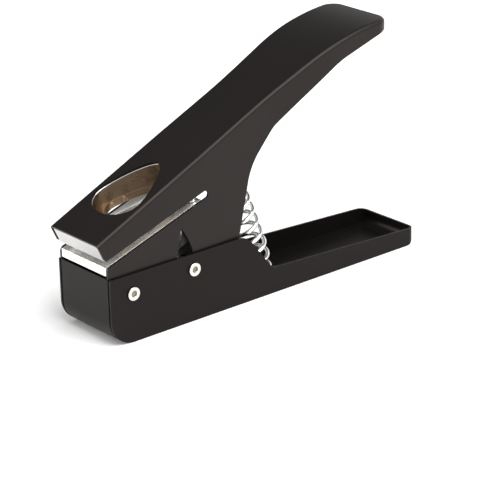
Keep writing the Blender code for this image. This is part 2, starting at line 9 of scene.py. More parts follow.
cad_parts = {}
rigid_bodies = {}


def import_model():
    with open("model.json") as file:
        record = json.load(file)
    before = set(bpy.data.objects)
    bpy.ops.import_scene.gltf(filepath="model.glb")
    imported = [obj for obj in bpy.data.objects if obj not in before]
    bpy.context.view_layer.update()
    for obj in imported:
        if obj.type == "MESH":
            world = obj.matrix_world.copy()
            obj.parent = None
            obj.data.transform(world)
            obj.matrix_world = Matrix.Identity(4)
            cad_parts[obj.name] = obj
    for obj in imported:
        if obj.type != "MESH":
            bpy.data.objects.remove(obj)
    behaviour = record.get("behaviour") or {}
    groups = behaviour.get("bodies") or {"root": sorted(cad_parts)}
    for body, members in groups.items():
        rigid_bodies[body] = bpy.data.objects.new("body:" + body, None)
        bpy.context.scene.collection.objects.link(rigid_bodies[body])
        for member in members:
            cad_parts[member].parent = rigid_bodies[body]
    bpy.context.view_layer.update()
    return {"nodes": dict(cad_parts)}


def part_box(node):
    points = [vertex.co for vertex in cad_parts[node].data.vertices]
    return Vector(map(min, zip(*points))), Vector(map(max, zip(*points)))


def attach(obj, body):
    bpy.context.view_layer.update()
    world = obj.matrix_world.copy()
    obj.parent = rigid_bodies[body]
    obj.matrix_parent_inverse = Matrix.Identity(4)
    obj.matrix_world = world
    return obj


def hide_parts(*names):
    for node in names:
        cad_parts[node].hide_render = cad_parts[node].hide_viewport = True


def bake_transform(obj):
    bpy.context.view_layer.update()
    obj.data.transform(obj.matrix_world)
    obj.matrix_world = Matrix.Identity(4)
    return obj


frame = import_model()

# places that the frame gives: all outlines below count x from the base's front face
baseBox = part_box("base_tub")
frontX = baseBox[0].x
halfBase = baseBox[1].y
baseLength = baseBox[1].x - frontX


def pinOf(node):
    low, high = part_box(node)
    return ((low.x + high.x) / 2 - frontX, (low.z + high.z) / 2)


pivot = pinOf("front_pivot_rivet")
punchPin = pinOf("punch_rivet")
pieceGroup = bpy.data.collections.new("dressedPieces")
bpy.context.scene.collection.children.link(pieceGroup)
scraps = bpy.data.collections.new("cuttingTools")
bpy.context.scene.collection.children.link(scraps)
across = (math.radians(90), 0, 0)  # stands an outline upright, and lays a pin across the punch
crossHalf = 2 * halfBase  # half depth of the prisms that run past both sides
crossPin = 3 * halfBase  # length of the pins that cut both walls
# fineness of round shapes, and how far a cutting tool runs over what it cuts
fine = {
    "arc": 20, "round": 72, "weld": 1e-6, "over": 0.002, "easeSteps": 2,
    "easeAngle": math.radians(32), "sharpAngle": math.radians(50),
}


# modelling helpers
def at(point, y=0.0):
    return Vector((frontX + point[0], y, point[1]))


def arc(center, radius, start, end, steps=fine["arc"]):
    turns = np.linspace(start, end, steps + 1)
    return [(center[0] + radius * math.cos(a), center[1] + radius * math.sin(a)) for a in turns]


def fillet(before, corner, after, radius):
    middle = Vector(corner)
    back = (Vector(before) - middle).normalized()
    ahead = (Vector(after) - middle).normalized()
    half = back.angle(ahead) / 2
    center = middle + (back + ahead).normalized() * (radius / math.sin(half))
    reach = radius / math.tan(half)
    start = middle + back * reach - center
    turn = (middle + ahead * reach - center).angle_signed(start)
    first = math.atan2(start.y, start.x)
    return arc(center, radius, first, first + turn)


def asObject(name, shape, group=pieceGroup):
    mesh = bpy.data.meshes.new(name)
    shape.to_mesh(mesh)
    shape.free()
    item = bpy.data.objects.new(name, mesh)
    group.objects.link(item)
    return item


def asMesh(item):  # modifiers become a plain welded mesh, placed in the shared frame
    bpy.context.view_layer.update()
    graph = bpy.context.evaluated_depsgraph_get()
    mesh = bpy.data.meshes.new_from_object(item.evaluated_get(graph))
    mesh.transform(item.matrix_world)
    name = item.name
    bpy.data.objects.remove(item, do_unlink=True)
    shape = bmesh.new()
    shape.from_mesh(mesh)
    bmesh.ops.remove_doubles(shape, verts=shape.verts, dist=fine["weld"])
    bmesh.ops.recalc_face_normals(shape, faces=shape.faces)
    shape.to_mesh(mesh)
    shape.free()
    solid = bpy.data.objects.new(name, mesh)
    pieceGroup.objects.link(solid)
    return solid


def prism(name, outline, halfDepth, spot, turn):
    shape = bmesh.new()
    low = [shape.verts.new((x, y, -halfDepth)) for x, y in outline]
    high = [shape.verts.new((x, y, halfDepth)) for x, y in outline]
    for k in range(len(outline)):
        n = (k + 1) % len(outline)
        shape.faces.new((low[k], low[n], high[n], high[k]))
    ends = [shape.faces.new(low), shape.faces.new(high)]
    bmesh.ops.recalc_face_normals(shape, faces=shape.faces)
    bmesh.ops.triangulate(shape, faces=ends)
    item = asObject(name, shape)
    item.location = spot
    item.rotation_euler = turn
    return asMesh(item)


def sidePrism(name, outline, halfDepth, y=0.0):
    return prism(name, outline, halfDepth, at((0, 0), y), across)


def planPrism(name, outline, low, high):
    return prism(name, outline, (high - low) / 2, at((0, (high + low) / 2)), (0, 0, 0))


def combine(item, tool, operation="DIFFERENCE"):
    pieceGroup.objects.unlink(tool)
    scraps.objects.link(tool)
    step = item.modifiers.new(operation.lower(), "BOOLEAN")
    step.operation = operation
    step.solver = "EXACT"
    step.use_self = True
    step.object = tool


def cut(item, *tools):
    for tool in tools:
        combine(item, tool)


def turned(name, profile, spot, turn):
    mesh = bpy.data.meshes.new(name)
    edges = [(i, i + 1) for i in range(len(profile) - 1)]
    mesh.from_pydata([(radius, 0, height) for radius, height in profile], edges, [])
    item = bpy.data.objects.new(name, mesh)
    item.location = spot
    item.rotation_euler = turn
    pieceGroup.objects.link(item)
    spin = item.modifiers.new("turn", "SCREW")
    spin.axis = "Z"
    spin.angle = math.tau
    spin.steps = fine["round"]
    spin.render_steps = fine["round"]
    spin.use_merge_vertices = True
    spin.merge_threshold = fine["weld"]
    return asMesh(item)


def bar(name, spot, turn, radius, length):
    profile = [(0.0, length / 2), (radius, length / 2), (radius, -length / 2), (0.0, -length / 2)]
    return turned(name, profile, spot, turn)


def roundChosen(item, chosen, radius, segments):
    shape = bmesh.new()
    shape.from_mesh(item.data)
    edges = [edge for edge in shape.edges if chosen(edge)]
    bmesh.ops.bevel(shape, geom=edges, offset=radius, segments=segments, profile=0.5, affect="EDGES")
    shape.to_mesh(item.data)
    shape.free()
    return item


def finish(item, softening):  # eased edges, then smooth shading that keeps flats flat
    item = asMesh(item)
    ease = item.modifiers.new("easedEdges", "BEVEL")
    ease.width = softening
    ease.segments = fine["easeSteps"]
    ease.limit_method = "ANGLE"
    ease.angle_limit = fine["easeAngle"]
    ease.miter_outer = "MITER_ARC"
    item = asMesh(item)
    item.data.shade_smooth()
    item.data.set_sharp_from_angle(angle=fine["sharpAngle"])
    level = item.modifiers.new("flatNormals", "WEIGHTED_NORMAL")
    level.keep_sharp = True
    return item


def dress(item, material):
    item.data.materials.clear()
    item.data.materials.append(material)


def place(item, body, material, node):
    dress(item, material)
    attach(item, body)
    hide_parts(node)


# shader helpers
noiseSpan = {"low": 0.3, "high": 0.7}  # nearly all values of a noise lie between these


def newGroup(name, inputs, outputs):
    group = bpy.data.node_groups.new(name, "ShaderNodeTree")
    for label, kind, value in inputs:
        socket = group.interface.new_socket(label, in_out="INPUT", socket_type=kind)
        socket.default_value = value
    for label, kind in outputs:
        group.interface.new_socket(label, in_out="OUTPUT", socket_type=kind)
    return group, group.nodes.new("NodeGroupInput"), group.nodes.new("NodeGroupOutput")


def addNode(tree, kind, **values):
    node = tree.nodes.new(kind)
    for key, value in values.items():
        setattr(node, key, value)
    return node


def scaledNoise(tree, vector, scale, detail):
    node = addNode(tree, "ShaderNodeTexNoise")
    node.inputs["Detail"].default_value = detail
    tree.links.new(vector, node.inputs["Vector"])
    tree.links.new(scale, node.inputs["Scale"])
    return node.outputs["Fac"]


def mapped(tree, value, low, high):
    node = addNode(tree, "ShaderNodeMapRange")
    tree.links.new(value, node.inputs["Value"])
    for source, socket in ((low, "To Min"), (high, "To Max")):
        tree.links.new(source, node.inputs[socket])
    node.inputs["From Min"].default_value = noiseSpan["low"]
    node.inputs["From Max"].default_value = noiseSpan["high"]
    return node.outputs["Result"]


def blended(tree, factor, first, second):
    mix = addNode(tree, "ShaderNodeMix", data_type="RGBA")
    tree.links.new(factor, mix.inputs["Factor"])
    ends = [socket for socket in mix.inputs if socket.type == "RGBA"]
    ends[0].default_value = (*first, 1)
    ends[1].default_value = (*second, 1)
    return [socket for socket in mix.outputs if socket.type == "RGBA"][0]


def buildCoatSkin():  # powder coat: fine orange peel, tiny pits, and slow changes in sheen
    number = "NodeSocketFloat"
    inputs = [("Peel Scale", number, 900.0), ("Pit Scale", number, 4200.0), ("Patch Scale", number, 22.0)]
    inputs += [("Low Roughness", number, 0.4), ("High Roughness", number, 0.5), ("Pit Share", number, 0.3)]
    outputs = [("Roughness", number), ("Height", number), ("Patch", number)]
    group, source, target = newGroup("coatSkin", inputs, outputs)
    spot = addNode(group, "ShaderNodeTexCoord").outputs["Object"]
    peel = scaledNoise(group, spot, source.outputs["Peel Scale"], detail=2.0)
    pits = scaledNoise(group, spot, source.outputs["Pit Scale"], detail=1.0)
    patch = scaledNoise(group, spot, source.outputs["Patch Scale"], detail=3.0)
    share = addNode(group, "ShaderNodeMath", operation="MULTIPLY_ADD")
    group.links.new(pits, share.inputs[0])
    group.links.new(source.outputs["Pit Share"], share.inputs[1])
    group.links.new(peel, share.inputs[2])
    group.links.new(share.outputs[0], target.inputs["Height"])
    rough = mapped(group, patch, source.outputs["Low Roughness"], source.outputs["High Roughness"])
    group.links.new(rough, target.inputs["Roughness"])
    group.links.new(patch, target.inputs["Patch"])
    return group


def buildMetalSkin():  # plated or ground steel: fine tool lines along one direction, and a faint haze
    number, vector = "NodeSocketFloat", "NodeSocketVector"
    inputs = [("Line Stretch", vector, (40.0, 3000.0, 3000.0)), ("Haze Scale", number, 140.0)]
    inputs += [("Low Roughness", number, 0.1), ("High Roughness", number, 0.2)]
    outputs = [("Roughness", number), ("Height", number), ("Haze", number)]
    group, source, target = newGroup("metalSkin", inputs, outputs)
    spot = addNode(group, "ShaderNodeTexCoord").outputs["Object"]
    stretch = addNode(group, "ShaderNodeVectorMath", operation="MULTIPLY")
    group.links.new(spot, stretch.inputs[0])
    group.links.new(source.outputs["Line Stretch"], stretch.inputs[1])
    lines = addNode(group, "ShaderNodeTexNoise")
    lines.inputs["Scale"].default_value = 1.0
    lines.inputs["Detail"].default_value = 2.0
    group.links.new(stretch.outputs[0], lines.inputs["Vector"])
    haze = scaledNoise(group, spot, source.outputs["Haze Scale"], detail=3.0)
    rough = mapped(group, haze, source.outputs["Low Roughness"], source.outputs["High Roughness"])
    group.links.new(rough, target.inputs["Roughness"])
    group.links.new(lines.outputs["Fac"], target.inputs["Height"])
    group.links.new(haze, target.inputs["Haze"])
    return group


coatSkin = buildCoatSkin()
metalSkin = buildMetalSkin()


def newMaterial(name, look, skin, maskOutput):
    material = bpy.data.materials.new(name)
    material.use_nodes = True
    tree = material.node_tree
    shader = tree.nodes["Principled BSDF"]
    for socket, value in look["shader"].items():
        shader.inputs[socket].default_value = value
    group = addNode(tree, "ShaderNodeGroup", node_tree=skin)
    for socket, value in look["skin"].items():
        group.inputs[socket].default_value = value
    colour = blended(tree, group.outputs[maskOutput], look["dark"], look["light"])
    tree.links.new(colour, shader.inputs["Base Color"])
    tree.links.new(group.outputs["Roughness"], shader.inputs["Roughness"])
    bump = addNode(tree, "ShaderNodeBump")
    bump.inputs["Strength"].default_value = look["bump"]
    bump.inputs["Distance"].default_value = look["bumpDepth"]
    tree.links.new(group.outputs["Height"], bump.inputs["Height"])
    tree.links.new(bump.outputs["Normal"], shader.inputs["Normal"])
    return material


# finishes
# one black powder coat in two copies: the base's copy is darker and less shiny, painted shade on the base
# and in its tray; the lever's copy is lighter, painted light on the lever
shadedBaseLook = {
    "dark": (0.0034, 0.0029, 0.0027), "light": (0.0052, 0.0045, 0.0041),
    "bump": 0.35, "bumpDepth": 0.00004,
    "shader": {"Specular IOR Level": 0.15, "Specular Tint": (1.0, 0.86, 0.83, 1.0)},
    "skin": {"Low Roughness": 0.33, "High Roughness": 0.41},
}
litLeverLook = {
    "dark": (0.0068, 0.0057, 0.0053), "light": (0.0100, 0.0086, 0.0080),
    "bump": 0.35, "bumpDepth": 0.00004,
    "shader": {"Specular IOR Level": 0.22, "Specular Tint": (1.0, 0.87, 0.84, 1.0)},
    "skin": {"Low Roughness": 0.28, "High Roughness": 0.35},
}
seatLook = {
    "dark": (0.012, 0.012, 0.012), "light": (0.02, 0.02, 0.02), "bump": 0.25, "bumpDepth": 0.00005,
    "shader": {"Specular IOR Level": 0.4},
    "skin": {"Peel Scale": 1500.0, "Low Roughness": 0.5, "High Roughness": 0.62},
}
dieLook = {
    "dark": (0.50, 0.49, 0.48), "light": (0.66, 0.65, 0.64), "bump": 0.05, "bumpDepth": 0.00002,
    "shader": {"Metallic": 1.0}, "skin": {"Low Roughness": 0.10, "High Roughness": 0.20},
}
# darker brown steel for the bore's wall and ledge
boreLook = {
    "dark": (0.17, 0.120, 0.075), "light": (0.36, 0.270, 0.185), "bump": 0.25, "bumpDepth": 0.00004,
    "shader": {"Metallic": 1.0},
    "skin": {"Line Stretch": (60.0, 60.0, 2600.0), "Low Roughness": 0.22, "High Roughness": 0.38},
}
# bright steel whose white diffuse share is partly its own finish and partly painted light that keeps the
# plate bright in shade
litPlateLook = {
    "dark": (0.86, 0.84, 0.79), "light": (0.94, 0.93, 0.89), "bump": 0.04, "bumpDepth": 0.00002,
    "shader": {"Metallic": 0.7},
    "skin": {"Line Stretch": (1400.0, 30.0, 1400.0), "Low Roughness": 0.20, "High Roughness": 0.30},
}
punchLook = {
    "dark": (0.46, 0.45, 0.43), "light": (0.62, 0.61, 0.59), "bump": 0.2, "bumpDepth": 0.00003,
    "shader": {"Metallic": 1.0},
    "skin": {"Line Stretch": (1800.0, 60.0, 1800.0), "Low Roughness": 0.26, "High Roughness": 0.38},
}
rivetLook = {
    "dark": (0.66, 0.63, 0.57), "light": (0.84, 0.82, 0.77), "bump": 0.05, "bumpDepth": 0.00002,
    "shader": {"Metallic": 1.0},
    "skin": {"Line Stretch": (900.0, 900.0, 900.0), "Low Roughness": 0.16, "High Roughness": 0.26},
}
# darker brown steel: painted shade of a deep rivet hollow, put into its shallow recess
rivetShadeLook = {
    "dark": (0.16, 0.135, 0.10), "light": (0.42, 0.38, 0.31), "bump": 0.3, "bumpDepth": 0.00005,
    "shader": {"Metallic": 1.0},
    "skin": {
        "Line Stretch": (500.0, 500.0, 500.0), "Haze Scale": 500.0,
        "Low Roughness": 0.3, "High Roughness": 0.4,
    },
}
wireLook = {
    "dark": (0.78, 0.78, 0.77), "light": (0.93, 0.93, 0.93), "bump": 0.04, "bumpDepth": 0.00002,
    "shader": {"Metallic": 1.0},
    "skin": {"Line Stretch": (700.0, 700.0, 700.0), "Low Roughness": 0.07, "High Roughness": 0.15},
}
# painted shade on the base's coat, painted light on the lever's coat
shadedBaseCoat = newMaterial("blackBaseCoatShaded", shadedBaseLook, coatSkin, "Patch")
litLeverCoat = newMaterial("blackLeverCoatLit", litLeverLook, coatSkin, "Patch")
seatPlastic = newMaterial("blackSeatPlastic", seatLook, coatSkin, "Patch")
dieSteel = newMaterial("polishedDieSteel", dieLook, metalSkin, "Haze")
boreSteel = newMaterial("brownBoreSteel", boreLook, metalSkin, "Haze")
plateSteel = newMaterial("brightPlateSteel", litPlateLook, metalSkin, "Haze")
punchSteel = newMaterial("groundPunchSteel", punchLook, metalSkin, "Haze")
rivetNickel = newMaterial("rivetNickel", rivetLook, metalSkin, "Haze")
rivetHollowShade = newMaterial("rivetHollowShade", rivetShadeLook, metalSkin, "Haze")
springWire = newMaterial("brightSpringWire", wireLook, metalSkin, "Haze")
print("materials ready")


# base tub
tub = {
    "wall": 0.001, "boxHeight": 0.0315, "boxLength": 0.0712, "shoulder": 0.0095,
    "slope": math.radians(52), "trayFront": 0.0122, "trayRear": 0.0082, "trayStart": 0.0965,
    "foot": 0.006, "toe": 0.012, "heel": 0.0058, "corner": 0.004, "softEdge": 0.00036,
    "seamWidth": 0.0008, "seamDepth": 0.0009,
}


def toeAndHeel(inset):
    toe = arc((tub["toe"], tub["toe"]), tub["toe"] - inset, math.pi, 1.5 * math.pi)
    center = (baseLength - tub["heel"], tub["heel"])
    return toe + arc(center, tub["heel"] - inset, 1.5 * math.pi, math.tau)


def tubOutline():
    slope = tub["slope"]
    center = (tub["boxLength"], tub["boxHeight"] - tub["shoulder"])
    shoulder = arc(center, tub["shoulder"], math.pi / 2 - slope, math.pi / 2)
    fall = math.atan2(tub["trayFront"] - tub["trayRear"], baseLength - tub["trayStart"])
    bendZ = tub["trayFront"] + tub["foot"] * math.cos(fall)
    bendX = shoulder[0][0] + (shoulder[0][1] - bendZ) / math.tan(slope) + tub["foot"] / math.sin(slope)
    bend = arc((bendX, bendZ), tub["foot"], 1.5 * math.pi - fall, 1.5 * math.pi - slope)
    return toeAndHeel(0.0) + [(baseLength, tub["trayRear"])] + bend + shoulder + [(0, tub["boxHeight"])]


def tubPlan(inset):
    half, radius, rear = halfBase - inset, tub["corner"] - inset, baseLength - inset
    near = arc((rear - radius, radius - half), radius, -math.pi / 2, 0)
    far = arc((rear - radius, half - radius), radius, 0, math.pi / 2)
    return [(inset, -half)] + near + far + [(inset, half)]


def seamTool(y):  # follows the front face and the toe, where the flap meets the side
    over, top, depth = fine["over"], tub["boxHeight"] + fine["over"], tub["seamDepth"]
    center = (tub["toe"], tub["toe"])
    outer = arc(center, tub["toe"] + over, math.pi, 1.5 * math.pi)
    inner = arc(center, tub["toe"] - depth, 1.5 * math.pi, math.pi)
    return sidePrism("seam", [(-over, top)] + outer + inner + [(depth, top)], tub["seamWidth"] / 2, y)


def makeTub():
    over, top = fine["over"], tub["boxHeight"] + fine["over"]
    body = sidePrism("baseTub", tubOutline(), crossHalf)
    combine(body, planPrism("tubPlan", tubPlan(0.0), -over, top), "INTERSECT")
    inside = toeAndHeel(tub["wall"]) + [(baseLength - tub["wall"], top), (tub["wall"], top)]
    hollow = sidePrism("tubHollow", inside, crossHalf)
    combine(hollow, planPrism("hollowPlan", tubPlan(tub["wall"]), -over, top + over), "INTERSECT")
    cut(body, asMesh(hollow))
    for side in (-1, 1):  # a plain mesh before each cut, because one pass over all cuts leaves stray faces
        seamY = side * (halfBase - tub["wall"] - tub["seamWidth"] / 2)
        body = asMesh(body)
        cut(body, seamTool(seamY))
    body = asMesh(body)
    for pin in (pivot, punchPin):
        cut(body, bar("rivetHole", at(pin), across, rivet["shank"] + rivet["gap"], crossPin))
    body = finish(body, tub["softEdge"])
    place(body, "base", shadedBaseCoat, "base_tub")


# hollow rivets across the base
rivet = {
    "shank": 0.00175, "gap": 0.0003, "head": 0.0031, "height": 0.0008, "bore": 0.0014,
    "boreDepth": 0.0009, "roll": 0.00042, "rollSteps": 8, "softEdge": 0.00006,
}


def makeRivet(name, node):
    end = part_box(node)[1].y
    seat = end - rivet["height"]
    roll, steps = rivet["roll"], rivet["rollSteps"]
    rim = arc((rivet["bore"] + roll, end - roll), roll, math.pi, math.pi / 2, steps)
    crown = arc((rivet["head"] - roll, end - roll), roll, math.pi / 2, 0, steps)
    side = [(0.0, end - rivet["boreDepth"]), (rivet["bore"], end - rivet["boreDepth"])]
    side += rim + crown + [(rivet["head"], seat), (rivet["shank"], seat)]
    profile = side + [(radius, -height) for radius, height in reversed(side)]
    axis = at(pinOf(node))
    item = finish(turned(name, profile, axis, across), rivet["softEdge"])
    place(item, "base", rivetNickel, node)
    # faces inside the recess take the darker steel, as painted shade for the hollow
    item.data.materials.append(rivetHollowShade)
    for face in item.data.polygons:
        if math.hypot(face.center.x - axis.x, face.center.z - axis.z) < rivet["bore"]:
            face.material_index = 1


# lever shell
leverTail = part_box("lever_shell")[1].x - frontX
lever = {
    "wall": 0.001, "overhang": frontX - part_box("lever_shell")[0].x, "frontHeight": 0.0483,
    "angle": math.radians(24.9), "straight": 0.132, "arcRadius": 0.120, "edge": 0.0019, "edgeSteps": 8,
    "jawHalf": 0.0172, "waistHalf": 0.0168, "palmHalf": 0.0197, "jawEnd": 0.050, "waistAt": 0.085,
    "palmAt": 0.138, "palmCorner": 0.0075, "stations": 24, "press": math.radians(24),
    "floorGap": 0.0006, "lobeGap": 0.0015, "jawCorner": 0.0025, "softEdge": 0.0002,
    "heelX": 0.0715, "kneeX": 0.0804, "kneeDepth": 0.0249, "armX": 0.094, "armDepth": 0.0158,
    "palmRootX": 0.132, "palmRootDepth": 0.0092, "skirt": 0.0036,
    "kneeRadius": 0.030, "armRadius": 0.014, "palmRadius": 0.040,
}
notch = {"gap": 0.0003, "rise": 0.0218, "mouthAhead": 0.008, "footAhead": 0.010, "footDrop": 0.0059}
slot = {"angle": math.radians(18.4), "floor": 0.0367, "height": 0.0035, "length": 0.0592}
window = {"start": 0.0161, "length": 0.0356, "width": 0.0286}


def alongLever(u, drop):  # u runs up the top line from the front, and drop goes down square to it
    cos, sin = math.cos(lever["angle"]), math.sin(lever["angle"])
    return (u * cos + drop * sin - lever["overhang"], lever["frontHeight"] + u * sin - drop * cos)


def alongSlot(s, rise):  # s runs along the slot's floor from the front, and rise goes up square to it
    cos, sin = math.cos(slot["angle"]), math.sin(slot["angle"])
    return (s * cos - rise * sin, slot["floor"] + s * sin + rise * cos)


def easeStep(value, start, end):
    share = min(1.0, max(0.0, (value - start) / (end - start)))
    return share * share * (3 - 2 * share)


def halfWidthAt(x):
    waist = easeStep(x, lever["jawEnd"], lever["waistAt"])
    palm = easeStep(x, lever["waistAt"], lever["palmAt"])
    width = lever["jawHalf"] + (lever["waistHalf"] - lever["jawHalf"]) * waist
    return width + (lever["palmHalf"] - lever["waistHalf"]) * palm


def leverPlan(inset):  # its stations are the breaks of the top line, so that both lines meet point on point
    start = -lever["overhang"] - fine["over"] - inset
    rear, radius = leverTail - inset, lever["palmCorner"] - inset
    half = halfWidthAt(leverTail) - inset
    bends = [x for x, z in leverTop(inset)[1:] if x < rear - radius - inset]
    stations = list(np.linspace(lever["jawEnd"], bends[0], lever["stations"])[:-1]) + bends
    side = [(x, halfWidthAt(x) - inset) for x in stations]
    far = [(start, lever["jawHalf"] - inset)] + side
    far += arc((rear - radius, half - radius), radius, math.pi / 2, 0)
    return [(x, -y) for x, y in far] + list(reversed(far))


def tailCenter():
    bend, radius = alongLever(lever["straight"], 0), lever["arcRadius"]
    return bend[0] + radius * math.sin(lever["angle"]), bend[1] - radius * math.cos(lever["angle"])


def leverTop(inset):  # straight from the front, then an arc that levels out towards the tail
    center = tailCenter()
    last = math.asin((center[0] - leverTail - fine["over"]) / lever["arcRadius"])
    ends = (math.pi / 2 + lever["angle"], math.pi / 2 + last)
    return [alongLever(-2 * inset, inset)] + arc(center, lever["arcRadius"] - inset, *ends)


def topHeight(x):
    if x < alongLever(lever["straight"], 0)[0]:
        return alongLever(0, 0)[1] + (x + lever["overhang"]) * math.tan(lever["angle"])
    center = tailCenter()
    return center[1] + math.sqrt(lever["arcRadius"] ** 2 - (center[0] - x) ** 2)


def floorLine(x):  # where the cheek lands on the tub's floor at the full press
    lowest = tub["wall"] + lever["floorGap"] - pivot[1]
    return pivot[1] + (lowest + (x - pivot[0]) * math.sin(lever["press"])) / math.cos(lever["press"])


def underTop(x, depth):
    return (x, topHeight(x) - depth)


def underLine():  # from the tail by the palm rest, arm and knee to the heel
    tail = underTop(leverTail + fine["over"], lever["skirt"])
    palm = underTop(lever["palmRootX"], lever["palmRootDepth"])
    arm = underTop(lever["armX"], lever["armDepth"])
    knee = underTop(lever["kneeX"], lever["kneeDepth"])
    heel = (lever["heelX"], floorLine(lever["heelX"]))
    line = [tail] + fillet(tail, palm, arm, lever["palmRadius"])
    line += fillet(palm, arm, knee, lever["armRadius"])
    return line + fillet(arm, knee, heel, lever["kneeRadius"]) + [heel]


def notchLine():  # leaves room for the punch rivet at every angle of the lever
    reach = math.dist(pivot, punchPin) + rivet["shank"] + notch["gap"]
    low = math.asin((floorLine(punchPin[0]) - pivot[1]) / reach)
    line = arc(pivot, reach, low, math.asin(notch["rise"] / reach))
    line.append((punchPin[0] - notch["mouthAhead"], tub["boxHeight"]))
    line.append((punchPin[0] - notch["footAhead"], punchPin[1] - notch["footDrop"]))
    return line


def jawLine():  # round the pivot and up the front
    lobe = pivot[0] - tub["wall"] - lever["lobeGap"]
    lip = tub["boxHeight"] + rivet["gap"]
    slotTop = slot["floor"] + slot["height"]
    line = arc(pivot, lobe, 1.5 * math.pi, math.pi)
    line += [(pivot[0] - lobe, lip), (0.0, lip), (0.0, slotTop)]
    return line + [alongLever(0, lever["frontHeight"] - slotTop), alongLever(0, 0)]


def cheekOutline():
    return leverTop(0.0) + underLine() + notchLine() + jawLine()


topEdge = {"up": 0.7, "level": 0.2, "front": -0.8}  # how faces lean beside an edge of the top


def isTopEdge(edge):  # between the top and a side, and not at the front
    normals = [face.normal for face in edge.link_faces]
    lower, upper = sorted(normal.z for normal in normals)
    atFront = any(normal.x < topEdge["front"] for normal in normals)
    return upper > topEdge["up"] and abs(lower) < topEdge["level"] and not atFront


def leverBody(name, outline, inset):
    ceiling = lever["frontHeight"] + leverTail
    body = sidePrism(name, outline, crossHalf)
    low = -fine["over"] * (2 if inset else 1)
    combine(body, planPrism(name + "Plan", leverPlan(inset), low, ceiling), "INTERSECT")
    return roundChosen(asMesh(body), isTopEdge, lever["edge"] - inset, lever["edgeSteps"])


def slotTool():
    front = -2 * lever["overhang"]
    drop = lever["jawCorner"] * math.tan(math.pi / 4 - slot["angle"] / 2)
    center = (lever["jawCorner"], slot["floor"] - drop)
    lip = arc(center, lever["jawCorner"], math.pi, math.pi / 2 + slot["angle"])
    radius = slot["height"] / 2
    tip = arc((slot["length"] - radius, radius), radius, -math.pi / 2, math.pi / 2)
    outline = [(front, center[1])] + lip + [alongSlot(s, rise) for s, rise in tip]
    return sidePrism("slotTool", outline + [alongSlot(front, slot["height"])], crossHalf)


def windowTool():
    outline = pickOutline(window["length"], window["width"])
    middle = at(alongLever(window["start"], lever["wall"] / 2))
    return prism("windowTool", outline, 2 * lever["wall"], middle, (0, -lever["angle"], 0))


def makeLever():
    shell = leverBody("leverShell", cheekOutline(), 0.0)
    top = leverTop(lever["wall"])
    front, over = -2 * lever["overhang"], fine["over"]
    inside = top + [(leverTail + over, -over), (front, -over), (front, top[0][1])]
    cut(shell, leverBody("leverHollow", inside, lever["wall"]))
    cut(shell, slotTool(), windowTool())
    cut(shell, bar("pivotHole", at(pivot), across, rivet["shank"] + rivet["gap"], crossPin))
    shell = finish(shell, lever["softEdge"])
    place(shell, "lever", litLeverCoat, "lever_shell")


# pick shape, die and guide plate
pick = {
    "length": 0.0304, "width": 0.0256, "middle": 0.0347, "widest": 0.31, "flank": 1.3, "tip": 0.62,
    "frontSteps": 16, "flankSteps": 30,
}
die = {
    "land": 0.0033, "half": 0.0158, "rear": 0.0555, "gap": 0.0003,
    "topRadius": 0.0012, "topSteps": 6, "softEdge": 0.0004,
    "rimInset": 0.0001, "rim": 0.0005, "rimSteps": 4,
}
# what tells the bore's faces from others: how far they reach, and how they lean
boreFaces = {"reach": 0.0215, "half": 0.0145, "wall": 0.3, "ledge": 0.95, "rimTop": 0.99}
plate = {"thick": 0.0043, "face": 0.0038, "half": 0.0158, "softEdge": 0.00022}
clampScrew = {"along": 0.0528, "across": 0.0118, "hole": 0.0016, "grip": 0.004}


def pickOutline(length, width):  # a wide round front, and flanks that run in to the tip
    widest, half = length * pick["widest"], width / 2
    side = []
    for a in np.linspace(0, math.pi / 2, pick["frontSteps"] + 1):
        side.append((widest * (1 - math.cos(a)), half * math.sin(a)))
    for b in np.linspace(0, math.pi / 2, pick["flankSteps"] + 1)[1:]:
        v = math.sin(b)
        flank = half * max(1 - v ** pick["flank"], 0.0) ** pick["tip"]
        side.append((widest + (length - widest) * v, flank))
    return side + [(x, -y) for x, y in reversed(side[1:-1])]


def pickPrism(name, grow, low, high):
    length = pick["length"] + 2 * grow
    outline = [(x - length / 2, y) for x, y in pickOutline(length, pick["width"] + 2 * grow)]
    middle = at(alongSlot(pick["middle"], (low + high) / 2))
    return prism(name, outline, (high - low) / 2, middle, (0, -slot["angle"], 0))


def slotBar(name, side, low, high):
    spot = at(alongSlot(clampScrew["along"], (low + high) / 2), side * clampScrew["across"])
    return bar(name, spot, (0, -slot["angle"], 0), clampScrew["hole"], high - low)


def frontLine(rise):  # where the front face meets a line that runs above the slot's floor
    start = alongLever(die["gap"], 0)
    height = (start[1] - slot["floor"]) * math.cos(slot["angle"]) - start[0] * math.sin(slot["angle"])
    return alongLever(die["gap"], (height - rise) / math.cos(lever["angle"] - slot["angle"]))


def leverTopOver(point, drop):  # straight up from the slot to a line that lies drop below the top
    start = alongLever(0, drop)
    ahead, rise = point[0] - start[0], point[1] - start[1]
    below = ahead * math.sin(lever["angle"]) - rise * math.cos(lever["angle"])
    length = below / math.cos(lever["angle"] - slot["angle"])
    return (point[0] - length * math.sin(slot["angle"]), point[1] + length * math.cos(slot["angle"]))


def upperBoreTool(low, high):  # the wide bore above the cutting land keeps to the window's outline
    inset = die["rimInset"]
    outline = pickOutline(window["length"] - 2 * inset, window["width"] - 2 * inset)
    front = alongLever(window["start"] + inset, lever["wall"])
    cos, sin = math.cos(slot["angle"]), math.sin(slot["angle"])
    start = front[0] * cos + (front[1] - slot["floor"]) * sin
    middle = at(alongSlot(start, (low + high) / 2))
    return prism("upperBoreTool", outline, (high - low) / 2, middle, (0, -slot["angle"], 0))


